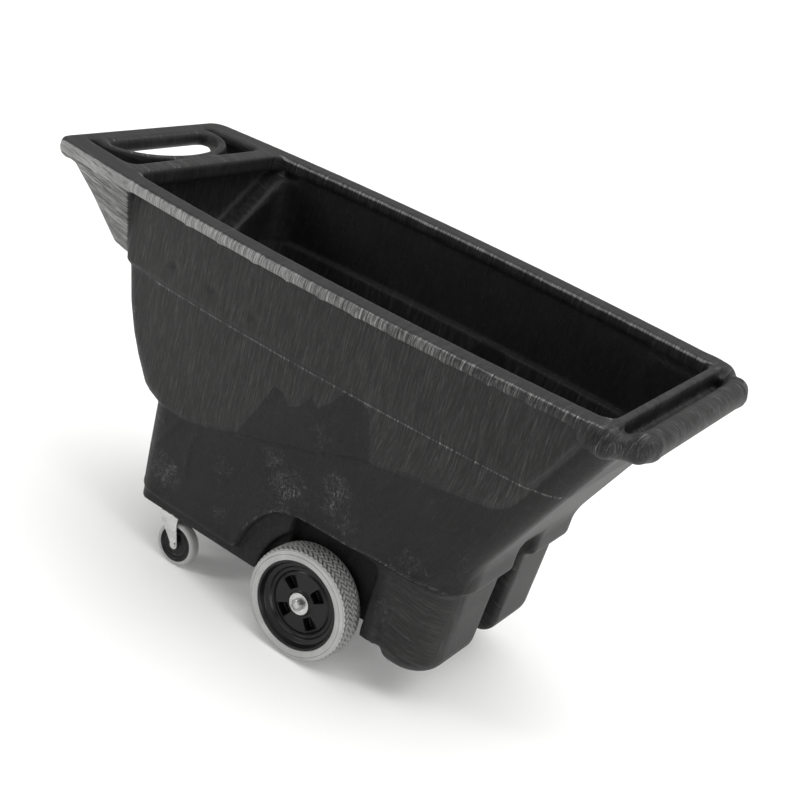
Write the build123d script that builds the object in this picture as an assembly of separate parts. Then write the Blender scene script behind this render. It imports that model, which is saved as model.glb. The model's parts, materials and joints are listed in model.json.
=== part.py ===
from build123d import *
import math
import os

os.makedirs("parts", exist_ok=True)

# Tilt truck: a moulded plastic hopper on two large wheels and two swivel casters.
# Millimetres, +X towards the pouring front, +Y to the left, +Z up, ground at Z = 0.
# The origin is on the ground under the middle of the overall box.
# Distances called "from the axle" are along X and get AXLE_X added by the function ax().

AXLE_X = 191.0            # the main axle stands this far ahead of the origin
LENGTH_REAR = 1080.0      # handle's rear edge, behind the axle
LENGTH_FRONT = 698.0      # pouring bar's front, ahead of the axle
RIM_TOP = 980.0           # height of the rim, handle and bar
RIM_HALF = 400.0          # half the overall width, at the middle of the rim
RIM_FRONT = 612.0         # front edge of the rim's cross strip, ahead of the axle
RIM_REAR_HALF = 333.0     # half width of the handle at its rear edge
RIM_FRONT_HALF = 368.0
RIM_CORNER = 42.0
RIM_WIDEST = -150.0
RIM_DEPTH = 30.0          # height of the rim's outer face
SIDE_BOW = 28.0           # the sides bow outwards by this much at mid-length
WALL = 9.0                # moulded wall

WHEEL_R = 152.4
WHEEL_WIDTH = 84.0
WHEEL_Y = 308.0           # middle plane of a large wheel
AXLE_R = 9.5
CASTER_R = 62.5
CASTER_Y = 269.0
KINGPIN_BACK = 475.0      # swivel axis, behind the axle
CASTER_TRAIL = 36.0       # caster wheel ahead of its swivel axis

FLOOR_UNDER = 158.0       # underside of the hopper floor, where plates bolt on
FLOOR_TOP = 170.0
SKIRT_LOW = 143.0         # lower edge of the flange round the base
FIT = 0.06                # radial running clearance
SIDES = (("right", -1), ("left", 1))


def ax(x):
    """A distance from the axle as a place along X."""
    return AXLE_X + x


def plan(z, rear, front, half, radius, bow):
    """Plan outline at height z: straight ends and sides that bow outwards."""
    end = half - bow
    middle = (rear + front) / 2
    with BuildSketch(Plane.XY.offset(z)) as sketch:
        with BuildLine():
            Line((ax(rear), end), (ax(rear), -end))
            ThreePointArc((ax(rear), -end), (ax(middle), -half), (ax(front), -end))
            Line((ax(front), -end), (ax(front), end))
            ThreePointArc((ax(front), end), (ax(middle), half), (ax(rear), end))
        make_face()
        fillet(sketch.vertices(), radius)
    return sketch.sketch


def stack(levels, inset=0.0):
    """Straight-sided solid through plan outlines, each drawn in by the wall thickness."""
    solid = None
    for low, high in zip(levels, levels[1:]):
        faces = []
        for z, rear, front, half, radius, bow in (low, high):
            corner = max(radius - inset, 12)
            faces.append(plan(z, rear + inset, front - inset, half - inset, corner, bow))
        piece = loft(faces, ruled=True)
        solid = piece if solid is None else solid + piece
    return solid


def slab(points, low, high, radii=None):
    """Vertical prism on a plan polygon whose points are from the axle."""
    with BuildPart() as part:
        with BuildSketch(Plane.XY.offset(low)) as sketch:
            with BuildLine():
                Polyline([(ax(x), y) for x, y in points], close=True)
            make_face()
            if radii:
                fillet(sketch.vertices(), radii)
        extrude(amount=high - low)
    return part.part


def side_prism(points, low_y, high_y, radius=0):
    """Prism along Y on an X-Z profile whose points are from the axle."""
    with BuildPart() as part:
        with BuildSketch(Plane.XZ.offset(-low_y)) as sketch:
            with BuildLine():
                Polyline([(ax(x), z) for x, z in points], close=True)
            make_face()
            if radius:
                fillet(sketch.vertices(), radius)
        extrude(amount=-(high_y - low_y))
    return part.part


def block(x0, x1, y0, y1, z0, z1):
    """Box between two corners, X from the axle."""
    size = Box(x1 - x0, y1 - y0, z1 - z0)
    return Pos(ax((x0 + x1) / 2), (y0 + y1) / 2, (z0 + z1) / 2) * size


def rod_y(x, z, radius, y0, y1):
    """Round bar along Y, X from the axle."""
    bar = Cylinder(radius, y1 - y0, rotation=(90, 0, 0))
    return Pos(ax(x), (y0 + y1) / 2, z) * bar


def rod_z(x, y, radius, z0, z1):
    """Round bar along Z, X from the axle."""
    return Pos(ax(x), y, (z0 + z1) / 2) * Cylinder(radius, z1 - z0)


def hex_z(x, y, across, z0, z1):
    """Hexagonal head or nut with its axis along Z."""
    shape = extrude(RegularPolygon(across / 2, 6, major_radius=False), z1 - z0)
    return Pos(ax(x), y, z0) * shape


def turned(profile):
    """Solid of revolution about the Y axis; the profile is (radius, y) points."""
    with BuildPart() as part:
        with BuildSketch(Plane.XY):
            with BuildLine():
                Polyline(profile, close=True)
            make_face()
        revolve(axis=Axis.Y)
    return part.part


def mirrored(solid, side):
    """The right-hand piece as built, or its mirror image on the left."""
    return solid if side < 0 else mirror(solid, about=Plane.XZ)


def save(name, shape):
    """Write one named sub-part."""
    export_step(shape, f"parts/{name}.step")


# ---------------------------------------------------------------- tub

# Plan outlines: height, rear and front from the axle, half width, corner radius, bow.
CREASE = 757.0
HOPPER_LOW = 356.0
BODY_TOP = 420.0
UPPER_LEVELS = [
    (CREASE, -774, 545, 354, 70, SIDE_BOW),
    (962, -790, 640, 362, 60, SIDE_BOW),
]
MIDDLE_LEVELS = [
    (HOPPER_LOW, -640, 345, 334, 70, SIDE_BOW - 6),
    (BODY_TOP, -660, 376, 338, 75, SIDE_BOW - 6),
    (520, -715, 425, 341, 85, SIDE_BOW - 4),
    (640, -758, 484, 345, 85, SIDE_BOW - 2),
    (CREASE, -768, 540, 348, 75, SIDE_BOW),
]
LOWER_LEVELS = [
    (166, -612, 235, 316, 60, 6),
    (BODY_TOP, -622, 235, 326, 60, 6),
]
BASE_LEVELS = [
    (SKIRT_LOW, -590, 235, 306, 45, 2),
    (176, -590, 235, 306, 45, 2),
]
POCKET_X = 165.0          # wheel pocket, each way from the axle
POCKET_Y = 254.0
POCKET_TOP = 352.0
ARCH_R = 235.0
ARCH_Y = 305.0
ARCH_TOP = 364.0
LOBE_IN = 50.0
LOBE_OUT = 303.0
LOBE_FRONT = 376.0
LOBE_LOW = 132.0
OPENING_REAR = 815.0
OPENING_FRONT = 578.0
BAR_R = 33.0
BAR_X = LENGTH_FRONT - BAR_R
BAR_Z = 945.0
BAR_END_X = 560.0         # where the bar's ends leave the rim
BAR_END_Y = 362.0
BAR_ELBOW_X = 622.0
BAR_ELBOW_Y = 345.0
BAR_STRAIGHT = 290.0      # half of the straight stretch
GROOVE_HALF = 282.0
BAR_BEND = 34.0
BOSS_R = 11.0
BOSS_TOP = 182.0
INSERT_HOLE = 6.05
INSERT_DEEP = 175.0
BOLT_X = 32.0             # caster plate bolts, each way from the swivel axis
BOLT_Y = 19.0
STRAP_Y = 200.0
STRAP_BOLT_X = 30.0


def rim_outline(inset, rear, front, low, high):
    """Plan slab of the rim and handle: widest at mid-length, narrowing to the rear."""
    with BuildPart() as part:
        with BuildSketch(Plane.XY.offset(low)) as sketch:
            with BuildLine():
                end = RIM_REAR_HALF - inset
                nose = RIM_FRONT_HALF - inset
                wide = RIM_HALF - inset
                middle = ax(RIM_WIDEST)
                Line((ax(-rear), end), (ax(-rear), -end))
                ThreePointArc((ax(-rear), -end), (middle, -wide), (ax(front), -nose))
                Line((ax(front), -nose), (ax(front), nose))
                ThreePointArc((ax(front), nose), (middle, wide), (ax(-rear), end))
            make_face()
            fillet(sketch.vertices(), RIM_CORNER)
        extrude(amount=high - low)
    return part.part


def lobe(side, inset):
    """Front foot: a hollow downward lobe under the sloping front, one each side."""
    profile = [
        (160 + inset, 440),
        (182 + inset, 300),
        (228 + inset, LOBE_LOW + inset),
        (LOBE_FRONT - 10 - inset, LOBE_LOW + inset),
        (LOBE_FRONT - inset, 366),
        (LOBE_FRONT + 28 - inset, 402),
        (LOBE_FRONT + 30 - inset, 470),
        (LOBE_FRONT + 30 - inset, 500),
        (300, 500),
    ]
    near, far = sorted((side * (LOBE_IN + inset), side * (LOBE_OUT - inset)))
    body = side_prism(profile, near, far, 8)
    outline = [
        (100, side * (LOBE_IN + inset)),
        (LOBE_FRONT + 30 - inset, side * (LOBE_IN + inset)),
        (LOBE_FRONT + 30 - inset, side * (LOBE_OUT - inset)),
        (100, side * (LOBE_OUT - inset)),
    ]
    return body & slab(outline, 100, 520, None)


def handle_housing(inset):
    """Wedge under the handle that ties it to the hopper's rear wall."""
    profile = [
        (-740, 962 - inset),
        (-1010 + inset, 962 - inset),
        (-990 + inset, 935),
        (-925 + inset, 873 + inset / 2),
        (-838, 776 + inset),
        (-740, 766 + inset),
    ]
    body = side_prism(profile, -330 + inset, 330 - inset)
    outline = rim_outline(26 + inset, LENGTH_REAR - 10, 640, 700, 1000)
    return body & outline


GRIP_HOLE = [(-1015, -190), (-1015, 190), (-945, 190), (-885, 90), (-885, -90), (-945, -190)]
GRIP_RADIUS = 34
SIDE_POCKET = [(-1000, 300), (-1000, 240), (-925, 222), (-868, 140), (-868, 308)]


def pouring_bar():
    """Round bar across the front, its ends curving back into the rim's front corners."""
    with BuildPart() as part:
        with BuildLine():
            FilletPolyline(
                (ax(BAR_END_X), -BAR_END_Y, BAR_Z),
                (ax(BAR_ELBOW_X), -BAR_ELBOW_Y, BAR_Z),
                (ax(BAR_X), -BAR_STRAIGHT, BAR_Z),
                (ax(BAR_X), BAR_STRAIGHT, BAR_Z),
                (ax(BAR_ELBOW_X), BAR_ELBOW_Y, BAR_Z),
                (ax(BAR_END_X), BAR_END_Y, BAR_Z),
                radius=BAR_BEND,
            )
        start = (BAR_ELBOW_X - BAR_END_X, BAR_END_Y - BAR_ELBOW_Y, 0)
        with BuildSketch(Plane((ax(BAR_END_X), -BAR_END_Y, BAR_Z), z_dir=start)):
            Circle(BAR_R)
        sweep()
    return part.part


def grown(points, amount):
    """Plan polygon pushed outwards on each side by the same amount."""
    face = make_face(Polyline([(ax(x), y) for x, y in points], close=True).edges())
    return offset(face, amount, kind=Kind.INTERSECTION)


def hopper_cavity():
    """Inside of the hopper, open at the top, with the wheel pockets kept out of it."""
    inside = stack(MIDDLE_LEVELS[1:], WALL)
    mouth = [
        (CREASE, -765, 536, 345, 60, SIDE_BOW),
        (930, -806, 600, 349, 55, SIDE_BOW),
    ]
    inside += stack(mouth)
    opening = [
        (930, -OPENING_REAR, OPENING_FRONT, 336, 45, SIDE_BOW - 6),
        (RIM_TOP + 20, -OPENING_REAR, OPENING_FRONT, 336, 45, SIDE_BOW - 6),
    ]
    inside += stack(opening)
    bottom = [
        (HOPPER_LOW + WALL, -631, 340, 325, 60, SIDE_BOW - 6),
        (BODY_TOP, -651, 367, 329, 66, SIDE_BOW - 6),
    ]
    inside += stack(bottom)
    base = [
        (FLOOR_TOP, -600, 226, 305, 50, 6),
        (HOPPER_LOW + 30, -612, 226, 315, 50, 6),
    ]
    inside += stack(base)
    for side in (-1, 1):
        inside += lobe(side, WALL)
        near, far = sorted((side * (POCKET_Y - WALL), side * 420))
        keep = POCKET_X + WALL
        inside -= block(-keep, keep, near, far, 100, POCKET_TOP + WALL)
        near, far = sorted((side * (ARCH_Y - WALL), side * 420))
        arch = rod_y(0, WHEEL_R, ARCH_R + WALL, near, far)
        inside -= arch & block(-400, 400, near, far, 0, ARCH_TOP + WALL)
    return inside


def make_tub():
    """Hopper, rim, handle, pouring bar, feet and base as one moulding."""
    outer = stack(UPPER_LEVELS) + stack(MIDDLE_LEVELS) + stack(LOWER_LEVELS)
    outer += stack(BASE_LEVELS)
    for side in (-1, 1):
        outer += lobe(side, 0)
    outer += handle_housing(0)
    rim = rim_outline(0, LENGTH_REAR, RIM_FRONT, RIM_TOP - RIM_DEPTH, RIM_TOP)
    rim -= rim_outline(WALL, LENGTH_REAR - WALL, RIM_FRONT - WALL, 900, RIM_TOP - WALL)
    outer += rim
    # Groove for the fingers between the rim and the pouring bar.
    groove = [(RIM_FRONT - 1, RIM_TOP + 10), (650, RIM_TOP + 10), (634, 918)]
    outer -= side_prism(groove, -GROOVE_HALF, GROOVE_HALF)
    outer += slab([(-1079, -290), (-1079, 290), (-1015, 300), (-1015, -300)], 940, RIM_TOP - 1)
    outer += pouring_bar()

    # Hollow of the handle housing, reached by a pocket each side of the grip opening.
    hollow = handle_housing(WALL) - block(-OPENING_REAR - 40, 0, -400, 400, 700, 1000)
    hollow -= extrude(Pos(0, 0, 700) * grown(GRIP_HOLE, 26), 300)
    outer -= hollow
    for side in (-1, 1):
        pocket = [(x, side * y) for x, y in SIDE_POCKET]
        outer -= slab(pocket, 900, 1000, 14)
    outer -= slab(GRIP_HOLE, 700, 1000, GRIP_RADIUS)

    outer -= hopper_cavity()
    for side in (-1, 1):
        # Wheel pocket, with a round arch where the outer skin steps in to it.
        near, far = sorted((side * POCKET_Y, side * 420))
        outer -= block(-POCKET_X, POCKET_X, near, far, 100, POCKET_TOP)
        near, far = sorted((side * ARCH_Y, side * 420))
        arch = rod_y(0, WHEEL_R, ARCH_R, near, far)
        outer -= arch & block(-400, 400, -420, 420, 0, ARCH_TOP)
        # Bosses for the inserts of the caster plate and the axle strap.
        for x, y in bolt_places(side) + strap_places(side):
            outer += rod_z(x, y, BOSS_R, FLOOR_UNDER, BOSS_TOP)
            outer -= rod_z(x, y, INSERT_HOLE, FLOOR_UNDER - 1, INSERT_DEEP)
    # Hollow under the floor inside the flange, and the groove for the axle.
    under = [
        (SKIRT_LOW - 5, -582, 227, 298, 40, 2),
        (FLOOR_UNDER, -582, 227, 298, 40, 2),
    ]
    outer -= stack(under)
    outer -= block(-AXLE_R - 1, AXLE_R + 1, -260, 260, 130, WHEEL_R + AXLE_R + 0.6)
    return outer


def bolt_places(side):
    """The four bolt positions of one caster's plate, from the axle."""
    places = []
    for dx in (-BOLT_X, BOLT_X):
        for dy in (-BOLT_Y, BOLT_Y):
            places.append((-KINGPIN_BACK + dx, side * CASTER_Y + dy))
    return places


def strap_places(side):
    """The two bolt positions of one axle strap, from the axle."""
    return [(-STRAP_BOLT_X, side * STRAP_Y), (STRAP_BOLT_X, side * STRAP_Y)]


save("tub", make_tub())

# ---------------------------------------------------------------- axle and its straps

AXLE_END = 344.0
STRAP_T = 4.0
INSERT_R = 6.0
INSERT_TOP = 173.0
INSERT_BORE = 4.0
BOLT_R = 3.9
BOLT_HEAD = 13.0          # across flats
BOLT_HEAD_T = 5.3
BOLT_TOP = 169.0
BOLT_HOLE = 4.2
STRAP_CLEAR = 0.3
STRAP_HALF_X = 44.0
STRAP_HALF_Y = 20.0

axle = rod_y(0, WHEEL_R, AXLE_R, -AXLE_END, AXLE_END)
axle = chamfer(axle.edges().filter_by(GeomType.CIRCLE), 1.5)
save("axle", axle)


def insert(x, y):
    """Threaded brass insert moulded into the floor."""
    bore = rod_z(x, y, INSERT_BORE, FLOOR_UNDER - 8, FLOOR_TOP)
    return rod_z(x, y, INSERT_R, FLOOR_UNDER, INSERT_TOP) - bore


def plate_bolt(x, y, seat):
    """M8 bolt put in from below, its head under a plate whose lower face is at seat."""
    head = hex_z(x, y, BOLT_HEAD, seat - BOLT_HEAD_T, seat)
    return head + rod_z(x, y, BOLT_R, seat - 1, BOLT_TOP)


def axle_strap(side):
    """Saddle that holds the axle up against the floor."""
    y = side * STRAP_Y
    low = y - STRAP_HALF_Y
    high = y + STRAP_HALF_Y
    bore = AXLE_R + STRAP_CLEAR
    outer = bore + STRAP_T
    strap = block(-STRAP_HALF_X, STRAP_HALF_X, low, high, FLOOR_UNDER - STRAP_T, FLOOR_UNDER)
    strap += rod_y(0, WHEEL_R, outer, low, high) & block(-30, 30, low, high, 100, FLOOR_UNDER)
    strap -= rod_y(0, WHEEL_R, bore, low - 10, high + 10)
    strap -= block(-bore, bore, low - 10, high + 10, WHEEL_R, FLOOR_UNDER + 1)
    for x, bolt_y in strap_places(side):
        strap -= rod_z(x, bolt_y, BOLT_HOLE, 140, 160)
    return strap


strap_bolts = []
strap_inserts = []
for name, side in SIDES:
    save(f"{name}_axle_strap", axle_strap(side))
    for x, y in strap_places(side):
        strap_bolts.append(plate_bolt(x, y, FLOOR_UNDER - STRAP_T))
        strap_inserts.append(insert(x, y))
save("axle_strap_bolts", Compound(children=strap_bolts))
save("axle_strap_inserts", Compound(children=strap_inserts))

# ---------------------------------------------------------------- large wheels

# Profiles are (radius, distance from the wheel's middle plane), outer face negative.
TYRE_IN = 119.6
HUB_R = 30.0
BUSH_R = 14.0
HUB_OUTER = -20.0
HUB_INNER = 41.0
BUSH_LONG = 24.0
PRESS = 0.05              # gap drawn at a press fit
WASHER_R = 29.0
WASHER_T = 3.0
SPACER_R = 16.0
NUT_INNER = 14.0          # half across flats of the axle nut
NUT_T = 12.0
CLEAR = 0.3


def wheel_rim():
    """Dished plastic wheel centre with a stepped ring and four pockets."""
    profile = [
        (BUSH_R, HUB_OUTER), (HUB_R, HUB_OUTER), (HUB_R + 6, -15), (84, -15), (92, -24),
        (104, -24), (112, -38), (119.5, -38), (119.5, 36), (110, 36), (106, -8), (HUB_R, -6),
        (HUB_R, HUB_INNER), (BUSH_R, HUB_INNER),
    ]
    rim = turned(profile)
    for quarter in range(4):
        pocket = Pos(62, -12, 0) * Box(26, 40, 34)
        rim -= Rot(0, 45 + 90 * quarter, 0) * pocket
    return rim


def wheel_tyre():
    """Solid grey tyre with a crowned tread and rounded shoulders."""
    half = WHEEL_WIDTH / 2
    tyre = turned([
        (TYRE_IN, -half + 3), (TYRE_IN + 3, -half), (134, -half), (144, -half + 4),
        (WHEEL_R - 1.5, -half + 13), (WHEEL_R, -half + 26), (WHEEL_R, half - 26),
        (WHEEL_R - 1.5, half - 13), (144, half - 4), (134, half), (TYRE_IN + 3, half),
        (TYRE_IN, half - 3),
    ])
    return tyre


def ring_y(inner, outer, y0, y1):
    """Flat ring or tube about the Y axis."""
    return turned([(inner, y0), (outer, y0), (outer, y1), (inner, y1)])


for name, side in SIDES:
    place = Pos(ax(0), -WHEEL_Y, WHEEL_R)
    bush_bore = AXLE_R + FIT
    bush_out = BUSH_R - PRESS
    bushes = [
        ring_y(bush_bore, bush_out, HUB_OUTER, HUB_OUTER + BUSH_LONG),
        ring_y(bush_bore, bush_out, HUB_INNER - BUSH_LONG, HUB_INNER),
    ]
    washer_in = HUB_OUTER - CLEAR
    spacer_end = WHEEL_Y - POCKET_Y - 0.2
    nut = Pos(0, washer_in - WASHER_T - CLEAR + 0.1 - NUT_T, 0) * Rot(-90, 0, 0)
    nut *= extrude(RegularPolygon(NUT_INNER, 6, major_radius=False), NUT_T)
    nut -= Cylinder(AXLE_R + 0.02, 200, rotation=(90, 0, 0))
    pieces = {
        "wheel_rim": wheel_rim(),
        "wheel_tyre": wheel_tyre(),
        "wheel_bushes": Compound(children=bushes),
        "wheel_washer": ring_y(AXLE_R + CLEAR, WASHER_R, washer_in - WASHER_T, washer_in),
        "axle_spacer": ring_y(AXLE_R + CLEAR, SPACER_R, HUB_INNER + CLEAR, spacer_end),
        "axle_nut": nut,
    }
    for piece, solid in pieces.items():
        save(f"{name}_{piece}", mirrored(place * solid, side))

# ---------------------------------------------------------------- casters

PLATE_T = 4.0
PLATE_UNDER = FLOOR_UNDER - PLATE_T
CROWN_TOP = 142.0
CROWN_UNDER = 138.0
LEG_IN = 19.0
LEG_OUT = 22.0
PIN_R = 6.0
PIN_HEAD_R = 11.0
PIN_LOW = 132.6
RACE_IN = 14.0
RACE_OUT = 26.0
RACE_LOW = 149.6
BALL_RING = 20.0
BALL_R = 2.0
BALL_Z = 147.3
BALLS = 12
FORK_EYE = 12.0           # round end of each leg
SLEEVE_R = 6.0
CASTER_BOLT_HOLE = 4.05


def caster_plate(side):
    """Top plate with the upper ball race under it."""
    x = -KINGPIN_BACK
    y = side * CASTER_Y
    plate = block(x - 44, x + 44, y - 27.5, y + 27.5, PLATE_UNDER, FLOOR_UNDER)
    plate = fillet(plate.edges().filter_by(Axis.Z), 6)
    plate += rod_z(x, y, RACE_OUT, RACE_LOW, PLATE_UNDER)
    plate -= rod_z(x, y, RACE_IN, 140, PLATE_UNDER)
    plate -= rod_z(x, y, PIN_R + 0.02, 140, 160)
    for bolt_x, bolt_y in bolt_places(side):
        plate -= rod_z(bolt_x, bolt_y, 4.3, 140, 160)
    return plate


def kingpin(side):
    """Swivel pin, riveted in the plate, with its head under the fork's crown."""
    x = -KINGPIN_BACK
    y = side * CASTER_Y
    head = rod_z(x, y, PIN_HEAD_R, PIN_LOW, CROWN_UNDER - CLEAR)
    return head + rod_z(x, y, PIN_R, PIN_LOW + 0.6, FLOOR_UNDER)


def swivel_balls(side):
    """Ring of balls between the two races."""
    balls = []
    for step in range(BALLS):
        turn = 2 * math.pi * step / BALLS
        x = -KINGPIN_BACK + BALL_RING * math.cos(turn)
        y = side * CASTER_Y + BALL_RING * math.sin(turn)
        balls.append(Pos(ax(x), y, BALL_Z) * Sphere(BALL_R))
    return Compound(children=balls)


def caster_fork(side):
    """Pressed steel fork: crown, lower race and two raked legs."""
    x = -KINGPIN_BACK
    y = side * CASTER_Y
    wheel_x = x + CASTER_TRAIL
    crown = block(x - 28, x + 31, y - LEG_OUT, y + LEG_OUT, CROWN_UNDER, CROWN_TOP)
    fork = crown + rod_z(x, y, RACE_OUT, CROWN_TOP - 1, 145)
    fork -= rod_z(x, y, RACE_IN, CROWN_TOP, 146)
    for low, high in ((LEG_IN, LEG_OUT), (-LEG_OUT, -LEG_IN)):
        profile = [
            (x - 28, CROWN_TOP), (x - 24, 120), (wheel_x - 12, CASTER_R + 2),
            (wheel_x, CASTER_R), (wheel_x + 12, CASTER_R + 2), (x + 31, 120), (x + 31, CROWN_TOP),
        ]
        leg = side_prism(profile, y + low, y + high)
        leg += rod_y(wheel_x, CASTER_R, FORK_EYE, y + low, y + high)
        fork += leg
    fork -= rod_z(x, y, PIN_R + FIT, 130, 150)
    fork -= rod_y(wheel_x, CASTER_R, CASTER_BOLT_HOLE, y - 30, y + 30)
    return fork


def caster_core():
    """Black plastic caster wheel centre."""
    return turned([
        (SLEEVE_R + 0.08, -18), (11, -18), (12, -9), (42, -8), (45, -14), (49.8, -14),
        (49.8, 14), (45, 14), (42, 8), (12, 9), (11, 18), (SLEEVE_R + 0.08, 18),
    ])


def caster_tyre():
    """Grey rubber band of the caster wheel."""
    return turned([
        (49.9, -15), (56, -16), (60.5, -14), (CASTER_R, -8), (CASTER_R, 8), (60.5, 14),
        (56, 16), (49.9, 15),
    ])


plate_bolts = []
plate_inserts = []
for name, side in SIDES:
    save(f"{name}_caster_plate", caster_plate(side))
    save(f"{name}_kingpin", kingpin(side))
    save(f"{name}_swivel_balls", swivel_balls(side))
    save(f"{name}_caster_fork", caster_fork(side))
    for x, y in bolt_places(side):
        plate_bolts.append(plate_bolt(x, y, PLATE_UNDER))
        plate_inserts.append(insert(x, y))
    place = Pos(ax(-KINGPIN_BACK + CASTER_TRAIL), -CASTER_Y, CASTER_R)
    bolt = Pos(0, 4, 0) * Cylinder(BOLT_R, 52, rotation=(90, 0, 0))
    bolt += Pos(0, -LEG_OUT - 2, 0) * Cylinder(8, 4, rotation=(90, 0, 0))
    nut = Pos(0, LEG_OUT, 0) * Rot(-90, 0, 0)
    nut *= extrude(RegularPolygon(6.5, 6, major_radius=False), 6.5)
    nut -= Cylinder(4.0, 100, rotation=(90, 0, 0))
    pieces = {
        "caster_core": caster_core(),
        "caster_tyre": caster_tyre(),
        "caster_sleeve": ring_y(4.0, SLEEVE_R, -LEG_IN, LEG_IN),
        "caster_bolt": bolt,
        "caster_nut": nut,
    }
    for piece, solid in pieces.items():
        save(f"{name}_{piece}", mirrored(place * solid, side))
save("caster_plate_bolts", Compound(children=plate_bolts))
save("caster_plate_inserts", Compound(children=plate_inserts))
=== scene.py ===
import json
import math
import bmesh
import bpy
import numpy as np
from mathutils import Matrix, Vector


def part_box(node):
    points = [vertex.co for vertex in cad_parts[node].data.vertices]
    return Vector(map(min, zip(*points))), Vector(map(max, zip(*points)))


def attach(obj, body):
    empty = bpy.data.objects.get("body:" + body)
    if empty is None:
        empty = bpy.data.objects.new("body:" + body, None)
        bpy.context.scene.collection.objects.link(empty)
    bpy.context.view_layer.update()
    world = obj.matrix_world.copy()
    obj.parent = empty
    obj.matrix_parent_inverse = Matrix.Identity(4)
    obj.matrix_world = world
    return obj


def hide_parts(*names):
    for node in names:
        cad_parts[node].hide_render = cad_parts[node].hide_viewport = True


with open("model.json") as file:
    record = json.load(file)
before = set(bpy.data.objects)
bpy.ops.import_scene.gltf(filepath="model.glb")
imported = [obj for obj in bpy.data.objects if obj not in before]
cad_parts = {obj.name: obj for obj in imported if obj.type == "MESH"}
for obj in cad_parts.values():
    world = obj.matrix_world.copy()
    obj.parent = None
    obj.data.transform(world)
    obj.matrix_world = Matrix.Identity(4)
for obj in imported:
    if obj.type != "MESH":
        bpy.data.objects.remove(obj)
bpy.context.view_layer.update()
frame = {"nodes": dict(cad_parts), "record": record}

import openvdb
from mathutils import Matrix, Vector

# Tilt truck. Shapes are worked out in millimetres, with X measured from the main axle, Z from
# the ground and Y from the middle. to_frame() and place_wheel() move them to the frame's
# metres. The tub's two sides mirror each other, so its shapes use only the size of Y.

MM = 0.001


def centre(node):
    low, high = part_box(node)
    return [(a + b) / 2 for a, b in zip(low, high)]


AXLE = centre("axle")
WHEEL_R = (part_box("right_wheel_tyre")[1][2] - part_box("right_wheel_tyre")[0][2]) / 2 / MM
SIDES = (("right", -1), ("left", 1))

# ------------------------------------------------------------------ the tub's sizes

RIM_TOP = 980.0
RIM_LOW = 950.0
RIM_HALF = 400.0                # half width of the rim where it is widest
RIM_FACE = 65.0                 # the rim's flat top, from its edge to the mouth
WIDEST = -121.0                 # where the truck is widest
BOW_FRONT = 0.61e-4             # how fast the sides draw in ahead of there
BOW_REAR = 0.80e-4
WALL = 11.0
HANDLE_REAR = -1080.0
GRIP_FRONT = -1014.0            # rear edge of the grip opening
CROSSBAR = (-872.0, -815.0)     # rear and front of the bar between handle and mouth
STRIP = (580.0, 605.0)          # rear and front of the rim's front strip
HOLLOW = (586.0, 946.0)         # front and top of the hollow below the rim
CREASE = 757.0                  # height of the crease round the side
INNER_CREASE = 748.0
ARCH_R = 235.0                  # arch over a main wheel
ARCH_TOP = 364.0
POCKET = (165.0, 254.0, 352.0)  # wheel pocket: front, depth from the middle, top
BASE = (-590.0, 233.0, 300.0)   # base: rear, front, half width
FLANGE_LOW = 143.0
SKIN_LOW = 176.0                # lower edge of the hopper's skin behind the arch
FLOOR_TOP = 170.0
FLOOR_STEP = 238.0              # where the low floor ends and the feet begin
FLOOR_UNDER = 158.0
LOBE = (50.0, 303.0, 112.0)     # front foot: inner side, outer side, underside
BAR_X = 665.0
BAR_Z = 945.0
BAR_R = 33.0

# Rear wall, panel edge and the handle's underside, each as (x, z) points.
REAR_LINE = [
    (-600, 60), (-602, 150), (-604, 192), (-610, 285), (-619, 417), (-638, 426), (-664, 446),
    (-705, 513), (-733, 574), (-757, 651), (-774, 744), (-783, 793), (-790, 930), (-792, 1100),
]
PANEL_LINE = [
    (-900, 436), (-600, 436), (-479, 441), (-393, 462), (-316, 491), (-235, 508), (-74, 562),
    (68, 610), (172, 632), (272, 646), (332, 655), (398, 664), (431, 684), (461, 737),
    (520, 861), (563, 948), (640, 1100),
]
UNDERSIDE = [
    (-1200, 948), (-1049, 940), (-997, 935), (-927, 875), (-840, 778), (-777, 767), (-600, 760),
]

# Marks of the moulding: low folds on the side, shallow dents below the rim, both as (x, z),
# and where along its length the rolled rim is lumpy.
FOLDS = [
    [(-485, 450), (-520, 385), (-560, 314)],
    [(-427, 451), (-447, 361), (-439, 291)],
    [(-306, 487), (-219, 512), (-57, 561)],
]
DENTS = [(-603, 819), (-469, 817), (-330, 806)]
RIM_KNOTS = (-565, -455, -345, -240, -140, -40, 70, 205, 313, 427, 523)


# ------------------------------------------------------------------ signed distances

def meet(a, b, r):
    """Where both solids are, with their shared edge rounded to radius r."""
    corner = np.hypot(np.maximum(a + r, 0), np.maximum(b + r, 0))
    return np.minimum(np.maximum(a, b), -r) + corner


def join(a, b, r):
    """Either solid, with the corner between them filled to radius r."""
    corner = np.hypot(np.maximum(r - a, 0), np.maximum(r - b, 0))
    return np.maximum(np.minimum(a, b), r) - corner


def cut(a, b, r):
    """The first solid less the second, its new edge rounded to radius r."""
    return meet(a, -b, r)


def ease(t):
    """0 below 0, 1 above 1, and smooth between."""
    t = np.clip(t, 0, 1)
    return t * t * (3 - 2 * t)


def bump(value, middle, width):
    """1 at the middle, and fading to 0 on either side."""
    return np.exp(-((value - middle) / width) ** 2)


def chain(x, z, points):
    """Distance to a chain of straight runs."""
    nearest = None
    for (x0, z0), (x1, z1) in zip(points, points[1:]):
        length = (x1 - x0) ** 2 + (z1 - z0) ** 2
        run = np.clip(((x - x0) * (x1 - x0) + (z - z0) * (z1 - z0)) / length, 0, 1)
        gap = np.hypot(x - x0 - run * (x1 - x0), z - z0 - run * (z1 - z0))
        nearest = gap if nearest is None else np.minimum(nearest, gap)
    return nearest


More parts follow.
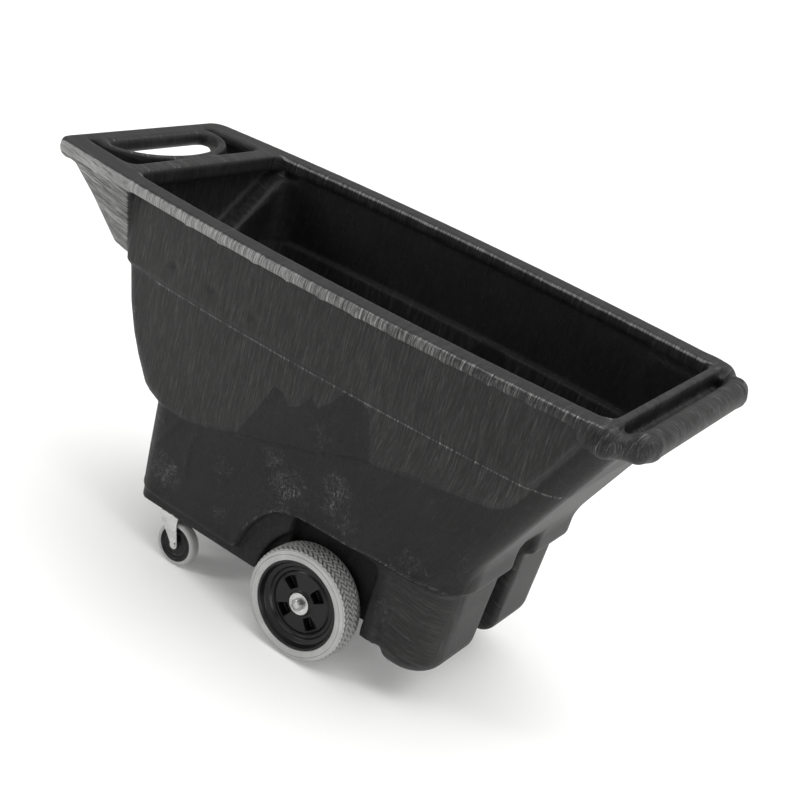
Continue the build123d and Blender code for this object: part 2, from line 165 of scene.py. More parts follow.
def above(x, z, points):
    """Signed distance to a chain that climbs with x: positive above it."""
    xs, zs = zip(*points)
    return np.where(z > np.interp(x, xs, zs), 1, -1) * chain(x, z, points)


def behind(x, z, points):
    """Signed distance to a chain that climbs with z: positive behind it."""
    xs, zs = zip(*points)
    return np.where(x < np.interp(z, zs, xs), 1, -1) * chain(x, z, points)


def rim_half(x):
    """Half width of the rim at x."""
    return RIM_HALF - np.where(x > WIDEST, BOW_FRONT, BOW_REAR) * (x - WIDEST) ** 2


def lower_edge(x, z):
    """Lower boundary of the hopper's skin seen from the side, negative inside the skin."""
    arch = ARCH_R - np.hypot(x, z - WHEEL_R)
    rear = np.maximum(meet(SKIN_LOW - z, arch, 12), x)
    top = ARCH_TOP + 8 * ease((x - 60) / 100) - z
    return join(rear, top, 24)


def front_wall(x, z):
    """Signed distance to the sloping front wall: positive ahead of it."""
    return (x - 468 - 0.5 * (z - 600)) * 0.894


def plain_half(x, z):
    """Half width of the hopper's side without its panels."""
    plain = np.interp(z, [100, SKIN_LOW, 420, CREASE, 945], [324, 325, 333, 349, 356])
    bow = np.where(x > WIDEST, BOW_FRONT, BOW_REAR) * (x - WIDEST) ** 2
    return plain - bow * (0.35 + 0.65 * ease((z - SKIN_LOW) / 390))


def half_width(x, z):
    """Half width of the hopper's side, with its panels, creases and the arch's lip."""
    panel = ease((above(x, z, PANEL_LINE) + 4) / 8)
    upper = ease((z - CREASE + 3) / 6) * panel
    seam = np.interp(z, [500, 746], [106, 29])
    swell = ease((x - seam + 3) / 6) * np.exp(-np.maximum(x - seam, 0) / 180)
    swell = swell * ease((CREASE - z) / 20) * ease((z - 480) / 60)
    edge = lower_edge(x, z)
    lip = bump(edge, -10, 10) * (0.45 + 0.55 * ease((x + 262) / 30)) * ease((430 - x) / 80)
    folds = 0
    for fold in FOLDS:
        folds = folds + bump(chain(x, z, fold), 0, 7)
    for dent_x, dent_z in DENTS:
        folds = folds - 2.0 * np.exp(-((x - dent_x) ** 2 + ((z - dent_z) / 0.6) ** 2) / 15 ** 2)
    return plain_half(x, z) - 9 * (1 - panel) + 9 * upper + 3 * swell + 6 * lip + 3 * folds


def ellipse(x, y):
    """Signed distance to the front edge of the grip opening, nearly."""
    x = x + 1003
    size = np.hypot(x / 110, y / 200)
    return (size - 1) * size / np.maximum(np.hypot(x / 110 ** 2, y / 200 ** 2), 1e-4)


def grip_hole(x, y):
    """Half-round grip opening in the handle."""
    return meet(ellipse(x, y), GRIP_FRONT - x, 24)


def rim_plan(x, y):
    """Outline of the rim and handle from above."""
    outline = meet(y - rim_half(x), HANDLE_REAR - x, 42)
    return meet(outline, x - STRIP[1], 30)


def housing(x, y, z):
    """Wedge under the handle."""
    face = y - rim_half(x) + 3 + 0.30 * (945 - z)
    wedge = meet(face, -above(x, z, UNDERSIDE), 12)
    wedge = meet(wedge, x + 776, 16)
    return np.maximum(meet(wedge, -1058 - x, 10), z - 965)


def lobe(x, y, z, pads=True):
    """One hollow front foot, with the pad on its front."""
    front = np.where(z < 372, x - 371 - 0.035 * (z - 175), x - 371 - 0.035 * 197)
    rear = (181 - x) * 0.94 - (z - 295) * 0.31
    foot = meet(y - LOBE[1], front, 94)
    foot = meet(foot, LOBE[2] - z, 50)
    foot = meet(foot, LOBE[0] - y, 18)
    foot = meet(foot, rear, 16)
    if not pads:
        return np.maximum(foot, z - 500)
    pad = meet(y - LOBE[1] + 6, x - 403, 60)
    pad = meet(pad, 384 - z + 0.35 * (x - 380), 10)
    pad = meet(pad, LOBE[0] + 4 - y, 12)
    foot = join(foot, np.maximum(pad, 200 - x), 12)
    return np.maximum(foot, z - 500)


def wheel_pocket(x, y, z):
    """Recess beside the base for a main wheel: round behind the axle, square ahead of it."""
    front = meet(x - POCKET[0], z - POCKET[2], 26)
    rounded = np.hypot(x - 24, z - WHEEL_R) - 190
    shallow = np.where(x < 24, rounded, front)
    deep = meet(front, -100 - x, 20)
    return np.minimum(meet(shallow, POCKET[1] + 24 - y, 9), meet(deep, POCKET[1] - y, 8))


def body(x, y, z, inner=False):
    """Hopper, base and feet as one closed form that runs on upwards; inner is its smooth core."""
    low = lower_edge(x, z)
    front = front_wall(x, z)
    if inner:
        ledge = 8 * ease((z - 745) / 6) * ease((x + 735) / 30) * ease((440 - x) / 60)
        half = plain_half(x, z) - 12 + ledge
        corner = np.interp(z, [760, 930], [74, 40])
    else:
        half = half_width(x, z)
        corner = np.interp(z, [430, 560, 690, CREASE - 3, CREASE + 3], [74, 52, 34, 26, 14])
    walls = meet(y - half, front, 60)
    walls = meet(walls, behind(x, z, REAR_LINE), corner)
    skin = np.maximum(meet(walls, low, 11), meet(low, front, 105))
    middle = (BASE[0] + BASE[1]) / 2
    base = meet(np.abs(x - middle) - (BASE[1] - middle), y - BASE[2], 42)
    base = np.maximum(meet(base, FLANGE_LOW - z, 3), z - 400)
    whole = join(join(skin, base, 3), lobe(x, y, z, pads=not inner), 14)
    return cut(whole, wheel_pocket(x, y, z), 6)


def capsule(x, y, z, start, end):
    """Round bar between two (x, y, z, radius) points."""
    axis = [b - a for a, b in zip(start[:3], end[:3])]
    length = sum(c * c for c in axis)
    reach = (x - start[0]) * axis[0] + (y - start[1]) * axis[1] + (z - start[2]) * axis[2]
    run = np.clip(reach / length, 0, 1)
    gap = (x - start[0] - run * axis[0]) ** 2 + (y - start[1] - run * axis[1]) ** 2
    gap = np.sqrt(gap + (z - start[2] - run * axis[2]) ** 2)
    return gap - start[3] - run * (end[3] - start[3])


# Half of the pouring bar, from its middle to the rim, as (x, y, z, radius) points.
BAR_PATH = [
    (BAR_X, -20, BAR_Z, BAR_R), (BAR_X, 266, BAR_Z, BAR_R), (655, 298, BAR_Z, BAR_R),
    (631, 325, BAR_Z - 2, 26), (600, 347, BAR_Z, 35), (560, 358, BAR_Z + 3, 31),
]


def pouring_bar(x, y, z):
    """Round bar across the front, with a neck where it turns into the rim."""
    bar = None
    for start, end in zip(BAR_PATH, BAR_PATH[1:]):
        run = capsule(x, y, z, start, end)
        bar = run if bar is None else join(bar, run, 6)
    return bar


def tub_field(x, y, z):
    """Signed distance to the whole moulding."""
    y = np.abs(y)
    closed = body(x, y, z)
    edge = rim_half(x)
    plan = rim_plan(x, y)
    rim = meet(plan, np.abs(z - (RIM_TOP + RIM_LOW) / 2) - (RIM_TOP - RIM_LOW) / 2, 8)
    grip = meet(meet(plan, np.abs(z - 957) - 23, 19), x - GRIP_FRONT, 19)
    bar_middle = (CROSSBAR[0] + CROSSBAR[1]) / 2
    cross = meet(np.abs(x - bar_middle) - (CROSSBAR[1] - bar_middle), np.abs(z - 953) - 27, 12)
    cross = np.maximum(cross, y - edge + 40)
    top = np.minimum(np.minimum(join(rim, housing(x, y, z), 12), grip), cross)
    solid = join(np.maximum(closed, z - 963), top, 7)

    # The hollow inside, and its mouth within the rim.
    floor = np.minimum(FLOOR_TOP - z, FLOOR_STEP - x)
    inside = body(x, y, z, inner=True) + WALL
    hollow = np.maximum(np.maximum(inside, floor), np.maximum(z - HOLLOW[1], x - HOLLOW[0]))
    mouth = meet(y - edge + RIM_FACE, np.maximum(CROSSBAR[1] - x, x - STRIP[0]), 34)
    hollow = join(hollow, np.maximum(mouth, 926 - z), 4)
    solid = cut(solid, hollow, 5)

    # Scoop in the rear wall below the crossbar, narrowing downwards.
    under = -above(x, z, UNDERSIDE)
    scoop = meet((y - 76 - (z - 757) * 1.32) * 0.60, -846 - x, 14)
    scoop = meet(scoop, under + 12, 16)
    scoop = np.maximum(scoop, np.maximum(z - 930, x + 740))
    solid = cut(solid, scoop, 13)

    # Grip opening and the pocket each side of it.
    hole = grip_hole(x, y)
    solid = cut(solid, hole, 17)
    pocket = meet(y - edge + 88, x + 869, 28)
    pocket = meet(pocket, 27 - ellipse(x, y), 9)
    pocket = meet(pocket, -1040 - x, 8)
    pocket = meet(pocket, np.maximum(under + 14, 892 - z), 12)
    solid = cut(solid, pocket, 9)

    # Web below the pouring bar, the bar itself, and the deep groove behind it.
    web = meet(np.abs(x - 632) - 34, np.abs(z - 917) - 12, 8)
    solid = join(solid, np.maximum(web, y - 262), 6)
    groove = meet(STRIP[1] - x - 0.1 * (RIM_TOP - z), x - BAR_X, 4)
    groove = meet(np.maximum(groove, 929 - z), y - 284, 14)
    solid = cut(solid, groove, 5)
    solid = join(solid, pouring_bar(x, y, z), 7)

    # Hollow under the floor inside the flange.
    tray = meet(np.abs(x - (BASE[0] + BASE[1]) / 2) - 402, y - BASE[2] + 8, 36)
    solid = cut(solid, np.maximum(np.maximum(tray, z - FLOOR_UNDER), FLANGE_LOW - 30 - z), 2)

    # Small knots where the rolled rim meets the wall.
    for place in RIM_KNOTS:
        knot = np.sqrt((x - place) ** 2 + (y - edge + 5) ** 2 + (z - 955) ** 2) - 7
        solid = join(solid, knot, 5)
    return solid


# ------------------------------------------------------------------ mesh building

TUB_GRID = 5.0


def to_frame(points):
    """Millimetres from the axle as metres in the frame."""
    moved = np.asarray(points, dtype=float) * MM
    moved[:, 0] += AXLE[0]
    return moved


def field_mesh(field, low, high, step, mirror=False):
    """Mesh of a signed distance field, sampled on a grid and softened by one blur."""
    axes = [np.arange(a, b + step, step, dtype=np.float32) for a, b in zip(low, high)]
    if mirror:
        axes[1] = np.arange(step / 2, high[1] + step, step, dtype=np.float32)
    values = field(axes[0][:, None, None], axes[1][None, :, None], axes[2][None, None, :])
    values = values.astype(np.float32)
    if mirror:
        values = np.concatenate([values[:, ::-1, :], values], axis=1)
        axes[1] = np.concatenate([-axes[1][::-1], axes[1]])
    for axis in range(3):
        values = np.moveaxis(values, axis, 0)
        values[1:-1] = (values[:-2] + 2 * values[1:-1] + values[2:]) / 4
        values = np.moveaxis(values, 0, axis)
    band = 3 * step
    grid = openvdb.FloatGrid(float(band))
    grid.copyFromArray(np.ascontiguousarray(np.clip(values, -band, band)))
    points, quads = grid.convertToQuads(0.0)
    points = points * step + np.array([axes[0][0], axes[1][0], axes[2][0]])
    return points, quads[:, ::-1]


def make_object(name, points, faces, material, smooth=True):
    """Object from frame points and faces, with its material."""
    mesh = bpy.data.meshes.new(name)
    if isinstance(faces, np.ndarray):
        faces = faces.tolist()
    mesh.from_pydata([tuple(p) for p in np.asarray(points).tolist()], [], faces)
    mesh.update()
    if smooth:
        mesh.shade_smooth()
    mesh.materials.append(material)
    piece = bpy.data.objects.new(name, mesh)
    bpy.context.scene.collection.objects.link(piece)
    return piece


def paint(piece, name, values, kind="FLOAT"):
    """Writes one number, or one vector, for each point of a mesh."""
    layer = piece.data.attributes.new(name, kind, "POINT")
    key = "vector" if kind == "FLOAT_VECTOR" else "value"
    layer.data.foreach_set(key, np.ascontiguousarray(values, dtype=np.float32).ravel())


# ------------------------------------------------------------------ materials

def node(tree, kind, inputs=None, **settings):
    """Shader node with its settings, and each input given a value or a link."""
    made = tree.nodes.new("ShaderNode" + kind)
    for key, value in settings.items():
        setattr(made, key, value)
    for key, value in (inputs or {}).items():
        if isinstance(value, bpy.types.NodeSocket):
            tree.links.new(value, made.inputs[key])
        else:
            made.inputs[key].default_value = value
    return made


def calc(tree, operation, a, b=0.0):
    """One arithmetic node's output."""
    return node(tree, "Math", {0: a, 1: b}, operation=operation).outputs[0]


def between(tree, value, low, high, out_low=0.0, out_high=1.0):
    """The value taken smoothly from one range to another."""
    inputs = {"Value": value, "From Min": low, "From Max": high, "To Min": out_low, "To Max": out_high}
    return node(tree, "MapRange", inputs, interpolation_type="SMOOTHSTEP").outputs["Result"]


def shades(tree, factor, *stops):
    """Grey or coloured ramp: stops are (place, colour)."""
    ramp = node(tree, "ValToRGB", {"Fac": factor})
    keys = ramp.color_ramp.elements
    while len(keys) < len(stops):
        keys.new(0.5)
    for key, (place, colour) in zip(keys, stops):
        key.position = place
        key.color = (*colour, 1) if isinstance(colour, tuple) else (colour, colour, colour * 0.99, 1)
    return ramp.outputs["Color"]


def mix(tree, factor, a, b):
    """Colour mix."""
    made = node(tree, "Mix", data_type="RGBA")
    for index, value in ((0, factor), (6, a), (7, b)):
        if isinstance(value, bpy.types.NodeSocket):
            tree.links.new(value, made.inputs[index])
        else:
            made.inputs[index].default_value = value
    return made.outputs[2]


def noise(tree, vector, scale, detail=3.0, roughness=0.55, distortion=0.0):
    """Cloudy noise, about 0.5 on average."""
    inputs = {"Vector": vector, "Scale": scale, "Detail": detail, "Roughness": roughness,
              "Distortion": distortion}
    return node(tree, "TexNoise", inputs).outputs["Fac"]


def stretched(tree, vector, scale):
    """The vector with each axis scaled by its own amount."""
    return node(tree, "VectorMath", {0: vector, 1: scale}, operation="MULTIPLY").outputs[0]


def blank(name):
    """New material: its tree and its main shader."""
    material = bpy.data.materials.new(name)
    material.use_nodes = True
    return material, material.node_tree, material.node_tree.nodes["Principled BSDF"]


def feed(tree, shader, **sockets):
    """Links or sets the shader's sockets by name, with _ for a space."""
    for key, value in sockets.items():
        socket = shader.inputs[key.replace("_", " ")]
        if isinstance(value, bpy.types.NodeSocket):
            tree.links.new(value, socket)
        else:
            socket.default_value = value


def bumped(tree, height, strength, distance, under=None):
    """Normal from a height, on top of an earlier one when that is given."""
    inputs = {"Height": height, "Strength": strength, "Distance": distance}
    if under is not None:
        inputs["Normal"] = under
    return node(tree, "Bump", inputs).outputs["Normal"]


def tub_plastic():
    """Black rotomoulded plastic: brushed streaks, leathery patches with painted highlights on their
    wrinkles, a rubbed rim, painted highlights on edges and ledges, painted light on the lower inner
    walls and painted shade in the wheel pockets.
    """
    material, tree, shader = blank("tub_plastic")
    brush = node(tree, "Attribute", attribute_name="brush").outputs["Vector"]
    wear_and_highlights = node(tree, "Attribute", attribute_name="wear_and_highlights").outputs["Fac"]
    crinkle = node(tree, "Attribute", attribute_name="crinkle").outputs["Fac"]
    smooth_and_shade = node(tree, "Attribute", attribute_name="smooth_and_shade").outputs["Fac"]
    place = node(tree, "TexCoord").outputs["Object"]

    fine = noise(tree, stretched(tree, brush, (760, 40, 40)), 1.0, 5, 0.72, 0.3)
    broad = noise(tree, stretched(tree, brush, (240, 14, 16)), 1.0, 3, 0.65, 0.4)
    cloud = noise(tree, place, 5.5, 3)
    grit = noise(tree, place, 380.0, 3, 0.7)
    folded = noise(tree, stretched(tree, place, (95, 95, 52)), 1.0, 5, 0.62, 1.6)
    valley = calc(tree, "ABSOLUTE", calc(tree, "SUBTRACT", folded, 0.5))
    wrinkles = between(tree, valley, 0.0, 0.075, 1.0, 0.0)
    rumple = noise(tree, place, 42.0, 4, 0.7, 0.8)
    hide = calc(tree, "MULTIPLY", wrinkles, rumple)

    tone = calc(tree, "ADD", calc(tree, "MULTIPLY", fine, 0.50), calc(tree, "MULTIPLY", broad, 0.50))
    streaks = shades(tree, tone, (0.38, 0.0065), (0.48, 0.0140), (0.56, 0.027), (0.68, 0.066))
    smooth = shades(tree, cloud, (0.3, 0.0030), (0.7, 0.0080))
    # Dark smooth colour where the moulding ran smooth, also used as painted shade in the wheel pockets.
    colour = mix(tree, between(tree, smooth_and_shade, 0.35, 0.65, 0.88, 0.22), smooth, streaks)
    # Thin lighter lines along the wrinkles of the leathery patches: painted highlights.
    shown = calc(tree, "ADD", hide, calc(tree, "MULTIPLY", calc(tree, "SUBTRACT", crinkle, 1.0), 0.5))
    wrinkle_highlights = between(tree, shown, 0.20, 0.52, 0.0, 0.9)
    colour = mix(tree, wrinkle_highlights, colour, (0.11, 0.11, 0.11, 1))
    specks = between(tree, grit, 0.60, 0.74, 0.0, 0.32)
    colour = mix(tree, specks, colour, (0.12, 0.12, 0.12, 1))

    # Lighter scuffed colour: real wear on the rim, bar, arch lip, handle and panel, mixed with painted
    # highlights on the rim's edges, the creases, the gusset, the bar and the front strip, and painted
    # light on the lower inner walls.
    ragged = calc(tree, "ADD", wear_and_highlights, calc(tree, "MULTIPLY", calc(tree, "SUBTRACT", tone, 0.5), 1.6))
    rubbed_and_lit = between(tree, ragged, 0.36, 0.95)
    scuff_and_highlight_shades = shades(tree, tone, (0.30, 0.10), (0.50, 0.21), (0.72, 0.42))
    colour = mix(tree, rubbed_and_lit, colour, scuff_and_highlight_shades)

    height = calc(tree, "ADD", fine, calc(tree, "MULTIPLY", broad, 0.8))
    normal = bumped(tree, height, 0.30, 0.0010)
    leather = calc(tree, "MULTIPLY", hide, calc(tree, "ADD", crinkle, 0.05))
    normal = bumped(tree, leather, 0.8, 0.0030, normal)
    rough = calc(tree, "ADD", 0.36, calc(tree, "MULTIPLY", broad, 0.26))
    rough = calc(tree, "ADD", rough, calc(tree, "MULTIPLY", rubbed_and_lit, 0.12))
    feed(tree, shader, Base_Color=colour, Roughness=rough, Normal=normal, Specular_IOR_Level=0.20)
    return material


def rubber(name, light, dark):
    """Grey rubber with a faint bloom, a darker tread, painted shade in the grooves and a moulded grain.
    """
    material, tree, shader = blank(name)
    place = node(tree, "TexCoord").outputs["Object"]
    cloud = noise(tree, place, 14.0, 4)
    grain = noise(tree, place, 650.0, 2)
    colour = shades(tree, cloud, (0.3, dark), (0.7, light))
    groove = node(tree, "Attribute", attribute_name="groove").outputs["Fac"]
    tread = node(tree, "Attribute", attribute_name="tread").outputs["Fac"]
    colour = mix(tree, calc(tree, "MULTIPLY", tread, 0.50), colour, (0.10, 0.098, 0.094, 1))
    # Grooves between the tread blocks painted near black: painted shade.
    colour = mix(tree, calc(tree, "MULTIPLY", groove, 0.85), colour, (0.030, 0.029, 0.028, 1))
    normal = bumped(tree, grain, 0.10, 0.0005)
    rough = between(tree, cloud, 0.3, 0.7, 0.46, 0.62)
    feed(tree, shader, Base_Color=colour, Roughness=rough, Normal=normal, Specular_IOR_Level=0.4)
    return material


def hub_plastic(name):
    """Black satin moulded plastic, slightly cloudy, with a fine grain."""
    material, tree, shader = blank(name)
    place = node(tree, "TexCoord").outputs["Object"]
    cloud = noise(tree, place, 22.0, 4)
    grain = noise(tree, place, 520.0, 3)
    colour = shades(tree, cloud, (0.3, 0.0040), (0.75, 0.0085))
    normal = bumped(tree, grain, 0.12, 0.0004)
    rough = between(tree, cloud, 0.3, 0.7, 0.28, 0.38)
    feed(tree, shader, Base_Color=colour, Roughness=rough, Normal=normal, Specular_IOR_Level=0.28)
    return material


def metal(name, light, dark, low, high, scratch=0.25):
    """Plated or drawn metal with a cloudy tone and fine scratches."""
    material, tree, shader = blank(name)
    place = node(tree, "TexCoord").outputs["Object"]
    cloud = noise(tree, place, 38.0, 4)
    lines = noise(tree, stretched(tree, place, (60, 900, 900)), 1.0, 3)
    colour = shades(tree, cloud, (0.32, dark), (0.68, light))
    rough = between(tree, cloud, 0.3, 0.7, low, high)
    rough = calc(tree, "ADD", rough, calc(tree, "MULTIPLY", lines, 0.08))
    normal = bumped(tree, lines, scratch, 0.0002)
    feed(tree, shader, Base_Color=colour, Roughness=rough, Normal=normal, Metallic=1.0)
    return material


def nylon():
    """Natural nylon, slightly waxy."""
    material, tree, shader = blank("natural_nylon")
    place = node(tree, "TexCoord").outputs["Object"]
    cloud = noise(tree, place, 30.0, 3)
    colour = shades(tree, cloud, (0.3, (0.55, 0.53, 0.46)), (0.7, (0.68, 0.66, 0.58)))
    normal = bumped(tree, noise(tree, place, 700.0, 2), 0.08, 0.0003)
    rough = between(tree, cloud, 0.3, 0.7, 0.34, 0.46)
    feed(tree, shader, Base_Color=colour, Roughness=rough, Normal=normal)
    return material


# ------------------------------------------------------------------ the tub

# Patches of leathery skin on the side: (x, z, reach, strength).
PATCHES = [
    (-126, 428, 78, 1.0), (-185, 480, 60, 0.85), (6, 496, 58, 1.05), (0, 440, 50, 0.95),
    (-501, 264, 74, 0.95), (-573, 389, 56, 0.8), (-311, 243, 54, 0.75), (-330, 380, 70, 0.7),
    (-696, 520, 56, 0.85), (-735, 640, 42, 0.9), (-725, 580, 46, 0.9), (250, 400, 74, 0.7),
    (215, 250, 56, 0.7), (60, 420, 60, 0.75), (-125, 364, 50, 0.85), (-60, 610, 60, 0.7),
    (380, 470, 60, 0.6),
]

# Upper limit of the dark smooth flow region, as (x, z): a row of ragged peaks.
PEAKS = [
    (-360, 430), (-308, 493), (-272, 568), (-229, 669), (-200, 661), (-175, 636), (-146, 652),
    (-123, 692), (-96, 672), (-61, 707), (-34, 751), (8, 744), (40, 737), (78, 611), (92, 480),
]


def surface_marks(points, normals):
    """Brush directions, the rubbed regions with painted highlights and painted light, the leathery
    regions, and the smooth regions with painted shade, one value a point.
    """
    x, y, z = points.T
    side = np.abs(y)
    nx, ny, nz = np.abs(normals.T)
    across = np.where((nx > ny) & (nx > nz * 0.9), y, x)
    along = z - side
    panel = ease((x - np.interp(z, [480, 746], [110, 29])) / 30)
    panel = panel * (z > 372) * (z < CREASE) * (ny > nx)
    across = across + panel * 0.00088 * (z - CREASE) ** 2
    foot = (z < 366) & (x > 150) & (ny > 0.5)
    across = np.where(foot, z + 0.0012 * (x - 200) ** 2, across)
    along = np.where(foot, x, along)
    front_strip = (x > STRIP[0] - 4) & (side < 280)
    across = np.where(front_strip, y, across)
    along = np.where(front_strip, x - z, along)
    on_gusset = (x < -778) & (ny > 0.5)
    across = np.where(on_gusset, z + 0.15 * x, across)
    along = np.where(on_gusset, x, along)
    on_handle = (x < CROSSBAR[1]) & (nz > 0.6)
    across = np.where(on_handle, y * 0.8 + x * 0.2, across)
    brush = np.stack([across, along, np.sign(y) * 40], axis=1) * MM

    # The rim's outer face: wear with a painted highlight, brighter at the rear and falling off towards
    # the front as painted light.
    light_falloff_x = [-1080, -700, -300, 0, 300, 540, 620]
    light_falloff = np.interp(x, light_falloff_x, [0.92, 0.88, 0.74, 0.60, 0.44, 0.36, 0.20])
    edge = rim_half(x)
    wear_and_highlights = ease((side - edge + 12) / 10) * ease((z - 944) / 8) * ease((986 - z) / 10) * light_falloff
    # Painted highlight along the rim's rounded outer top edge.
    outer = bump(side, edge - 4, 4) * ease((z - 970) / 4) * ease((600 - x) / 20)
    wear_and_highlights = np.maximum(wear_and_highlights, 0.68 * outer)
    # Painted highlight on the side faces of the gusset under the handle.
    gusset = ease((-778 - x) / 8) * ease((951 - z) / 6) * ease((side - 285) / 20)
    gusset = gusset * ease((z - 770) / 12) * ease((ny - 0.5) / 0.3)
    wear_and_highlights = np.maximum(wear_and_highlights, 0.68 * gusset)
    # Lighter band along the arch's lip: scuffs together with a painted highlight.
    lip = bump(lower_edge(x, z), -8, 9) * ease(ny / 0.3) * ease((side - 285) / 10)
    lip = lip * ease((420 - z) / 30) * ease((x + 300) / 60)
    wear_and_highlights = np.maximum(wear_and_highlights, 0.44 * lip)
    # Painted highlight along the ledge of the crease round the side.
    crease = bump(z, CREASE + 1, 4) * ease((ny - 0.4) / 0.2)
    crease = crease * ease((480 - x) / 20) * ease((x + 770) / 10)
    wear_and_highlights = np.maximum(wear_and_highlights, 0.26 * crease)
    # Painted highlight along the inner crease's upward-facing ledge.
    faces_in = normals[:, 0] * (x + 100) + normals[:, 1] * y < 0
    crease_in = bump(z, INNER_CREASE, 5) * ease((x + 690) / 40) * ease((560 - x) / 30) * faces_in
    wear_and_highlights = np.maximum(wear_and_highlights, 0.55 * crease_in)
    # Pouring bar lighter: scuffs together with a painted highlight.
    bar = ease((x - 560) / 30) * (z > 905)
    wear_and_highlights = np.maximum(wear_and_highlights, 0.36 * bar)
    # Painted highlight along the rim's inner edge round the mouth.
    mouth = bump(side, edge - RIM_FACE, 4.5) * ease((z - 966) / 6)
    mouth = mouth * (x > CROSSBAR[1]) * (x < STRIP[0])
    wear_and_highlights = np.maximum(wear_and_highlights, 0.85 * mouth)
    # Painted highlight along the inner edge of the rim's front strip.
    strip = bump(x, STRIP[0], 4) * ease((z - 966) / 6) * (side < 340)
    wear_and_highlights = np.maximum(wear_and_highlights, 0.6 * strip)
    # Inner walls below the inner crease painted lighter: painted light from above.
    inside = (side < half_width(x, z) - 6) & (x > -775) & (x < 590) & (z < 945) & (z > 160)
    wear_and_highlights = np.maximum(wear_and_highlights, 0.13 * inside * ease((742 - z) / 8))
    wear_and_highlights = np.maximum(wear_and_highlights, 0.20 * panel)
    web = (x < CROSSBAR[1]) * (z > 974) * (side < edge - 66) * (x > GRIP_FRONT - 10)
    wear_and_highlights = np.maximum(wear_and_highlights, 0.36 * web)

    crinkle = np.zeros(len(x))
    for px, pz, reach, strength in PATCHES:
        away = (x - px) ** 2 + (z - pz) ** 2
        crinkle = np.maximum(crinkle, strength * np.exp(-away / reach ** 2))
    crinkle = crinkle * (ny > 0.4) * (side > 290)
    xs, zs = zip(*PEAKS)
    dark = ease((np.interp(x, xs, zs, left=330, right=330) - z) / 10 + 0.5)
    low_body = ease((above(x, z, PANEL_LINE) * -1) / 12)
    low_body = low_body * (1 - 0.25 * ease((x - 100) / 30))
    low_body = low_body * (1 - 0.9 * ease((x - 170) / 60) * ease((372 - z) / 10))
    smooth_and_shade = np.maximum(dark * (x > -365) * (x < 92), low_body) * (side > 280) * ease((ny - 0.25) / 0.2)
    # The inner walls above the inner crease take the dark smooth colour too.
    smooth_and_shade = np.maximum(smooth_and_shade, inside * ease((z - 742) / 6))
    # Walls of the wheel pockets beside the wheels take the dark smooth colour as painted shade.
    smooth_and_shade = np.maximum(smooth_and_shade, (side < 292) * (z < 366) * (x < 178) * (x > -240))
    crinkle = np.maximum(crinkle, 0.34 * smooth_and_shade)
    return brush, wear_and_highlights, crinkle, smooth_and_shade


def make_tub(material):
    """The moulded tub, from its field, with its surface marks, painted highlights and painted shade
    painted on.
    """
    points, faces = field_mesh(tub_field, (-1105, 0, 116), (722, 412, 998), TUB_GRID, mirror=True)
    points[:, 0] = np.clip(points[:, 0], HANDLE_REAR, BAR_X + BAR_R)
    points[:, 1] = np.clip(points[:, 1], -RIM_HALF, RIM_HALF)
    points[:, 2] = np.clip(points[:, 2], LOBE[2], RIM_TOP)
    piece = make_object("tub_moulding", to_frame(points), faces, material)
    count = len(piece.data.vertices)
    normals = np.empty(count * 3, dtype=np.float32)
    piece.data.vertices.foreach_get("normal", normals)
    brush, wear_and_highlights, crinkle, smooth_and_shade = surface_marks(points, normals.reshape(-1, 3))
    paint(piece, "brush", brush, "FLOAT_VECTOR")
    paint(piece, "wear_and_highlights", wear_and_highlights)
    paint(piece, "crinkle", crinkle)
    paint(piece, "smooth_and_shade", smooth_and_shade)
    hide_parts("tub")
    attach(piece, "truck")
    return piece


# ------------------------------------------------------------------ wheels

def ring_mesh(profile, turns, shape=None):
    """Points and faces of a closed (radius, y) outline turned about Y; shape moves the radius."""
    angle = np.arange(turns) * (2 * math.pi / turns)
    radius = np.array([p[0] for p in profile])[None, :] + np.zeros((turns, 1))
    depth = np.array([p[1] for p in profile])[None, :] + np.zeros((turns, 1))
    if shape is not None:
        radius = radius - shape(angle[:, None], radius, depth)
    points = np.stack([radius * np.cos(angle)[:, None], depth, radius * np.sin(angle)[:, None]], axis=2)
    rows = len(profile)
    faces = []
    for a in range(turns):
        b = (a + 1) % turns
        for i in range(rows):
            j = (i + 1) % rows
            faces.append((a * rows + i, b * rows + i, b * rows + j, a * rows + j))
    return points.reshape(-1, 3), faces


def smooth_profile(corners, step):
    """Closed outline through rounded corners (radius, y, fillet), split into short runs."""
    places = []
    count = len(corners)
    for i, (r, y, fillet) in enumerate(corners):
        here = np.array([r, y], dtype=float)
        before = np.array(corners[i - 1][:2], dtype=float) - here
        after = np.array(corners[(i + 1) % count][:2], dtype=float) - here
        a = before / np.linalg.norm(before)
        b = after / np.linalg.norm(after)
        if fillet <= 0:
            places.append(here)
            continue
        start, end = here + a * fillet, here + b * fillet
        for t in np.linspace(0, 1, 7):
            places.append((1 - t) ** 2 * start + 2 * t * (1 - t) * here + t * t * end)
    outline = []
    for p, q in zip(places, places[1:] + places[:1]):
        parts = max(1, int(round(np.linalg.norm(q - p) / step)))
        outline += [tuple(p + (q - p) * k / parts) for k in range(parts)]
    return outline


TREAD_ROWS = 7          # rows of blocks across the tyre
TREAD_TURNS = 60        # blocks round it in each row
TREAD_DEEP = 4.2
TREAD_FROM = 147.2      # radius where the tread begins
TYRE_HALF = 42.0
RIM_SEAT = 119.5        # radius of the rim under the tyre
HUB_BORE = 14.05


